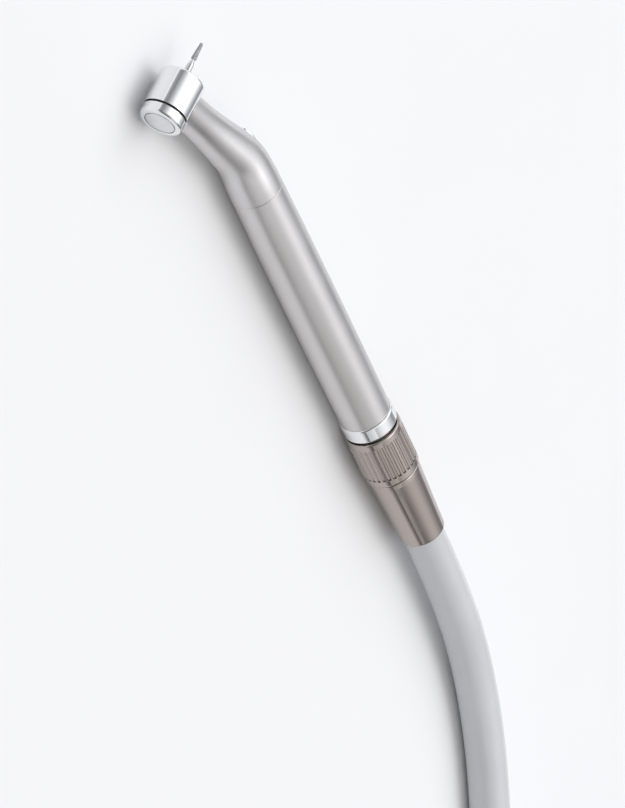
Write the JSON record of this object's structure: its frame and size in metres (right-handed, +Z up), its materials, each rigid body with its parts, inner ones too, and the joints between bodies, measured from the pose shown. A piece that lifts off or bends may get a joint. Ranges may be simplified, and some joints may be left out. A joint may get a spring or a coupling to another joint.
{
  "type": "high speed handpiece",
  "caption": "Dental air-turbine handpiece with a bent satin handle, a polished push-button head holding a bur, and a grey hose with its coupling, lying on its side",
  "frame": {"origin": "on the table, under the middle of the handpiece's own box without its hose", "axes": "+X forward along the handle towards the head, -Y the way the bur points, +Y the push button's side, +Z up from the table the handpiece lies on"},
  "size_m": [0.4852, 0.0746, 0.046],
  "materials": {
    "polished_chrome": "polished chrome plate",
    "dark_nickel": "dark polished nickel plate",
    "button_steel": "polished steel",
    "satin_nickel": "satin nickel plate",
    "bearing_steel": "ground steel",
    "diamond_grit": "rough diamond coating",
    "impeller_aluminium": "machined",
    "cage_resin": "resin-bonded cloth",
    "black_rubber": "moulded rubber",
    "tube_steel": "drawn steel",
    "plated_brass": "nickel-plated brass",
    "grey_hose": "glossy light grey silicone",
    "tie_fabric": "woven hook-and-loop strap",
    "coupling_metal": "plated"
  },
  "bodies": {
    "handpiece": {"head_housing": "polished_chrome", "head_cap": "polished_chrome", "cap_o_ring": "black_rubber", "button_retainer": "polished_chrome", "button_spring": "bearing_steel", "spray_ring": "polished_chrome", "wave_washer": "bearing_steel", "neck_shell": "satin_nickel", "bend_plate": "polished_chrome", "handle_sleeve": "satin_nickel", "rear_collar": "polished_chrome", "drive_air_tube": "tube_steel", "water_tube": "tube_steel", "chip_air_tube": "tube_steel", "back_end_body": "plated_brass", "handle_o_ring": "black_rubber", "port_pipes": "tube_steel", "connector_gasket": "black_rubber", "hose_terminal": "plated_brass", "hose_tail": "dark_nickel", "hose_tube": "grey_hose", "hose_coil": "grey_hose", "coil_tie": "tie_fabric", "far_ferrule": "coupling_metal", "far_connector": "coupling_metal", "far_o_ring": "black_rubber", "front_bearing_outer_race": "bearing_steel", "front_bearing_o_ring": "black_rubber", "rear_bearing_outer_race": "bearing_steel", "rear_bearing_o_ring": "black_rubber"},
    "rotor": {"rotor_spindle": "bearing_steel", "impeller": "impeller_aluminium", "chuck": "bearing_steel", "front_bearing_inner_race": "bearing_steel", "rear_bearing_inner_race": "bearing_steel"},
    "ball_cages": {"front_bearing_balls": "bearing_steel", "front_bearing_cage": "cage_resin", "rear_bearing_balls": "bearing_steel", "rear_bearing_cage": "cage_resin"},
    "button": {"push_button": "button_steel"},
    "plunger": {"chuck_plunger": "bearing_steel"},
    "bur": {"bur_shank": "bearing_steel", "bur_cutting_head": "diamond_grit"},
    "nut": {"hose_nut": "dark_nickel"}
  },
  "joints": [
    {"name": "rotor_spin", "type": "hinge", "parent": "handpiece", "child": "rotor", "pos_m": [0.07385, 0.00498, 0.007], "axis": [0.1736, -0.9848, 0], "continuous": true},
    {"name": "ball_cage_spin", "type": "hinge", "parent": "handpiece", "child": "ball_cages", "pos_m": [0.07385, 0.00498, 0.007], "axis": [0.1736, -0.9848, 0], "continuous": true},
    {"name": "button_press", "type": "slide", "parent": "handpiece", "child": "button", "axis": [0.1736, -0.9848, 0], "range_m": [0, 0.0006], "stiffness_N_per_m": 5000, "springref_m": -0.0004},
    {"name": "plunger_slide", "type": "slide", "parent": "rotor", "child": "plunger", "axis": [0.1736, -0.9848, 0], "range_m": [0, 0.00045]},
    {"name": "bur_pull", "type": "slide", "parent": "rotor", "child": "bur", "axis": [0.1736, -0.9848, 0], "range_m": [0, 0.0093]},
    {"name": "nut_turn", "type": "hinge", "parent": "handpiece", "child": "nut", "pos_m": [-0.05182, -0.00596, 0.007], "axis": [1, 0, 0], "continuous": true}
  ],
  "couplings": [
    {"joint": "ball_cage_spin", "follows": "rotor_spin", "ratio": 0.395},
    {"joint": "plunger_slide", "follows": "button_press", "ratio": 0.75}
  ]
}
